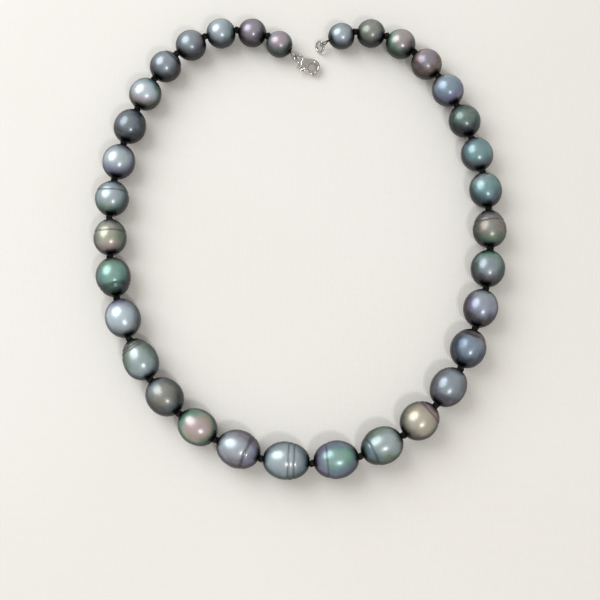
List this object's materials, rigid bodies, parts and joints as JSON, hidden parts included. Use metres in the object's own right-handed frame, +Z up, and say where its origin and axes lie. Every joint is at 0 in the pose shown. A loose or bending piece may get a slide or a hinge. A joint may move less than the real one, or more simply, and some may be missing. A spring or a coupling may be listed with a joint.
{
  "type": "pearl necklace",
  "caption": "Knotted strand of graduated dark baroque pearls laid flat in an open loop, with a lobster clasp undone at the top and a hinge at every knot.",
  "frame": {"origin": "on the table, under the middle of the whole piece", "axes": "+Z up from the table the strand lies on, +Y towards the clasp, +X to the right seen from above with the clasp at the top"},
  "size_m": [0.1326, 0.153, 0.0118],
  "materials": {
    "nacre_peacock": "gloss",
    "black_silk": "matte",
    "nacre_mauve": "gloss",
    "nacre_teal": "gloss",
    "nacre_rose": "gloss",
    "nacre_slate": "gloss",
    "nacre_charcoal": "gloss",
    "nacre_silver": "gloss",
    "nacre_green": "gloss",
    "nacre_olive": "gloss",
    "nacre_blue": "gloss",
    "white_metal": "polished"
  },
  "bodies": {
    "pearl_01": {"pearl_01": "nacre_peacock", "end_cord_left": "black_silk"},
    "pearl_02": {"pearl_02": "nacre_mauve", "cord_02": "black_silk"},
    "pearl_03": {"pearl_03": "nacre_teal"},
    "pearl_04": {"pearl_04": "nacre_rose", "cord_04": "black_silk"},
    "pearl_05": {"pearl_05": "nacre_slate"},
    "pearl_06": {"pearl_06": "nacre_peacock", "cord_06": "black_silk"},
    "pearl_07": {"pearl_07": "nacre_charcoal"},
    "pearl_08": {"pearl_08": "nacre_silver", "cord_08": "black_silk"},
    "pearl_09": {"pearl_09": "nacre_teal"},
    "pearl_10": {"pearl_10": "nacre_rose", "cord_10": "black_silk"},
    "pearl_11": {"pearl_11": "nacre_green"},
    "pearl_12": {"pearl_12": "nacre_silver", "cord_12": "black_silk"},
    "pearl_13": {"pearl_13": "nacre_teal"},
    "pearl_14": {"pearl_14": "nacre_olive", "cord_14": "black_silk"},
    "pearl_15": {"pearl_15": "nacre_peacock"},
    "pearl_16": {"pearl_16": "nacre_mauve", "cord_16": "black_silk"},
    "pearl_17": {"pearl_17": "nacre_silver"},
    "pearl_18": {"pearl_18": "nacre_blue", "cord_18": "black_silk"},
    "pearl_19": {"pearl_19": "nacre_teal"},
    "pearl_20": {"pearl_20": "nacre_olive", "cord_20": "black_silk"},
    "pearl_21": {"pearl_21": "nacre_slate"},
    "pearl_22": {"pearl_22": "nacre_blue", "cord_22": "black_silk"},
    "pearl_23": {"pearl_23": "nacre_slate"},
    "pearl_24": {"pearl_24": "nacre_green", "cord_24": "black_silk"},
    "pearl_25": {"pearl_25": "nacre_olive"},
    "pearl_26": {"pearl_26": "nacre_teal", "cord_26": "black_silk"},
    "pearl_27": {"pearl_27": "nacre_slate"},
    "pearl_28": {"pearl_28": "nacre_charcoal", "cord_28": "black_silk"},
    "pearl_29": {"pearl_29": "nacre_slate"},
    "pearl_30": {"pearl_30": "nacre_rose", "cord_30": "black_silk"},
    "pearl_31": {"pearl_31": "nacre_peacock"},
    "pearl_32": {"pearl_32": "nacre_olive", "cord_32": "black_silk"},
    "pearl_33": {"pearl_33": "nacre_silver", "end_cord_right": "black_silk"},
    "end_loop_left": {"end_loop_left": "white_metal"},
    "end_loop_right": {"end_loop_right": "white_metal"},
    "clasp_body": {"clasp_body": "white_metal", "trigger_pin": "white_metal", "trigger_spring": "white_metal"},
    "clasp_trigger": {"clasp_trigger": "white_metal"},
    "clasp_ring": {"clasp_ring": "white_metal"}
  },
  "joints": [
    {"name": "trigger_hinge", "type": "hinge", "parent": "clasp_body", "child": "clasp_trigger", "pos_m": [0.00108, 0.06053, 0.00231], "axis": [0.191, -0.1141, 0.9749], "range_deg": [0, 24], "stiffness_Nm_per_rad": 0.00001, "springref_deg": -11.46},
    {"name": "clasp_tilt", "type": "hinge", "parent": "end_loop_left", "child": "clasp_body", "pos_m": [-0.00153, 0.06396, 0.00322], "axis": [0.5131, 0.8583, 0], "range_deg": [-25, 0]},
    {"name": "ring_tilt", "type": "hinge", "parent": "end_loop_right", "child": "clasp_ring", "pos_m": [0.00768, 0.06843, 0.00322], "axis": [-0.342, 0.9397, 0], "range_deg": [0, 25]},
    {"name": "loop_swing_left", "type": "hinge", "parent": "pearl_01", "child": "end_loop_left", "pos_m": [-0.00292, 0.06479, 0.0044], "axis": [0, 0, 1], "range_deg": [-30, 18]},
    {"name": "loop_swing_right", "type": "hinge", "parent": "pearl_33", "child": "end_loop_right", "pos_m": [0.0092, 0.06898, 0.0044], "axis": [0, 0, 1], "range_deg": [-30, 30]},
    {"name": "knot_01_swing", "type": "hinge", "parent": "pearl_02", "child": "pearl_01", "pos_m": [-0.01085, 0.07073, 0.00458], "axis": [0, 0, 1], "range_deg": [-11, 8]},
    {"name": "knot_02_lift", "type": "hinge", "parent": "pearl_03", "child": "pearl_02", "pos_m": [-0.02117, 0.07265, 0.00485], "axis": [0.0233, -0.9997, 0], "range_deg": [0, 36]},
    {"name": "knot_03_swing", "type": "hinge", "parent": "pearl_04", "child": "pearl_03", "pos_m": [-0.03177, 0.07017, 0.00503], "axis": [0, 0, -1], "range_deg": [-4, 17]},
    {"name": "knot_04_lift", "type": "hinge", "parent": "pearl_05", "child": "pearl_04", "pos_m": [-0.04107, 0.06393, 0.00515], "axis": [0.6748, -0.738, 0], "range_deg": [0, 36]},
    {"name": "knot_05_swing", "type": "hinge", "parent": "pearl_06", "child": "pearl_05", "pos_m": [-0.04834, 0.05494, 0.00525], "axis": [0, 0, 1], "range_deg": [-26, 2]},
    {"name": "knot_06_lift", "type": "hinge", "parent": "pearl_07", "child": "pearl_06", "pos_m": [-0.05378, 0.04435, 0.0053], "axis": [0.9208, -0.3901, 0], "range_deg": [0, 36]},
    {"name": "knot_07_swing", "type": "hinge", "parent": "pearl_08", "child": "pearl_07", "pos_m": [-0.05784, 0.03235, 0.0053], "axis": [0, 0, -1], "range_deg": [-45, 30]},
    {"name": "knot_08_lift", "type": "hinge", "parent": "pearl_09", "child": "pearl_08", "pos_m": [-0.06031, 0.01989, 0.00537], "axis": [0.9906, -0.137, 0], "range_deg": [0, 36]},
    {"name": "knot_09_swing", "type": "hinge", "parent": "pearl_10", "child": "pearl_09", "pos_m": [-0.06132, 0.00719, 0.00538], "axis": [0, 0, 1], "range_deg": [-30, 45]},
    {"name": "knot_10_lift", "type": "hinge", "parent": "pearl_11", "child": "pearl_10", "pos_m": [-0.06067, -0.0058, 0.00542], "axis": [0.9934, 0.1151, 0], "range_deg": [0, 36]},
    {"name": "knot_11_swing", "type": "hinge", "parent": "pearl_12", "child": "pearl_11", "pos_m": [-0.05819, -0.0194, 0.00558], "axis": [0, 0, -1], "range_deg": [-46, 29]},
    {"name": "knot_12_lift", "type": "hinge", "parent": "pearl_13", "child": "pearl_12", "pos_m": [-0.05366, -0.03234, 0.00555], "axis": [0.9162, 0.4007, 0], "range_deg": [0, 36]},
    {"name": "knot_13_swing", "type": "hinge", "parent": "pearl_14", "child": "pearl_13", "pos_m": [-0.04666, -0.04552, 0.0056], "axis": [0, 0, 1], "range_deg": [-4, 51]},
    {"name": "knot_14_lift", "type": "hinge", "parent": "pearl_15", "child": "pearl_14", "pos_m": [-0.03746, -0.05607, 0.00565], "axis": [0.6718, 0.7408, 0], "range_deg": [0, 36]},
    {"name": "knot_15_swing", "type": "hinge", "parent": "pearl_16", "child": "pearl_15", "pos_m": [-0.02595, -0.06428, 0.00575], "axis": [0, 0, -1], "range_deg": [-52, 2]},
    {"name": "knot_16_lift", "type": "hinge", "parent": "pearl_17", "child": "pearl_16", "pos_m": [-0.01198, -0.06975, 0.0059], "axis": [0.2329, 0.9725, 0], "range_deg": [0, 36]},
    {"name": "knot_17_swing", "type": "hinge", "parent": "pearl_17", "child": "pearl_18", "pos_m": [0.00359, -0.07127, 0.0059], "axis": [0, 0, 1], "range_deg": [-51, 2]},
    {"name": "knot_18_lift", "type": "hinge", "parent": "pearl_18", "child": "pearl_19", "pos_m": [0.01864, -0.06916, 0.00585], "axis": [0.2885, -0.9575, 0], "range_deg": [0, 36]},
    {"name": "knot_19_swing", "type": "hinge", "parent": "pearl_19", "child": "pearl_20", "pos_m": [0.03184, -0.06283, 0.00582], "axis": [0, 0, -1], "range_deg": [-2, 54]},
    {"name": "knot_20_lift", "type": "hinge", "parent": "pearl_20", "child": "pearl_21", "pos_m": [0.04223, -0.0536, 0.0057], "axis": [0.7495, -0.662, 0], "range_deg": [0, 36]},
    {"name": "knot_21_swing", "type": "hinge", "parent": "pearl_21", "child": "pearl_22", "pos_m": [0.05027, -0.04195, 0.0056], "axis": [0, 0, 1], "range_deg": [-50, 0]},
    {"name": "knot_22_lift", "type": "hinge", "parent": "pearl_22", "child": "pearl_23", "pos_m": [0.05534, -0.02922, 0.00558], "axis": [0.9476, -0.3196, 0], "range_deg": [0, 36]},
    {"name": "knot_23_swing", "type": "hinge", "parent": "pearl_23", "child": "pearl_24", "pos_m": [0.05894, -0.01626, 0.0055], "axis": [0, 0, -1], "range_deg": [0, 44]},
    {"name": "knot_24_lift", "type": "hinge", "parent": "pearl_24", "child": "pearl_25", "pos_m": [0.06088, -0.0033, 0.00545], "axis": [0.997, -0.0776, 0], "range_deg": [0, 36]},
    {"name": "knot_25_swing", "type": "hinge", "parent": "pearl_25", "child": "pearl_26", "pos_m": [0.06098, 0.01011, 0.00535], "axis": [0, 0, 1], "range_deg": [-45, 2]},
    {"name": "knot_26_lift", "type": "hinge", "parent": "pearl_26", "child": "pearl_27", "pos_m": [0.0593, 0.0227, 0.00528], "axis": [0.9821, 0.1885, 0], "range_deg": [0, 36]},
    {"name": "knot_27_swing", "type": "hinge", "parent": "pearl_27", "child": "pearl_28", "pos_m": [0.0563, 0.03457, 0.00525], "axis": [0, 0, -1], "range_deg": [-2, 45]},
    {"name": "knot_28_lift", "type": "hinge", "parent": "pearl_28", "child": "pearl_29", "pos_m": [0.05187, 0.04583, 0.00525], "axis": [0.8986, 0.4388, 0], "range_deg": [0, 36]},
    {"name": "knot_29_swing", "type": "hinge", "parent": "pearl_29", "child": "pearl_30", "pos_m": [0.04585, 0.05603, 0.0052], "axis": [0, 0, 1], "range_deg": [-49, 2]},
    {"name": "knot_30_lift", "type": "hinge", "parent": "pearl_30", "child": "pearl_31", "pos_m": [0.03824, 0.06452, 0.00505], "axis": [0.652, 0.7582, 0], "range_deg": [0, 36]},
    {"name": "knot_31_swing", "type": "hinge", "parent": "pearl_31", "child": "pearl_32", "pos_m": [0.02901, 0.07056, 0.00485], "axis": [0, 0, -1], "range_deg": [-10, 61]},
    {"name": "knot_32_lift", "type": "hinge", "parent": "pearl_32", "child": "pearl_33", "pos_m": [0.01857, 0.07238, 0.00458], "axis": [-0.0883, 0.9961, 0], "range_deg": [0, 36]}
  ]
}
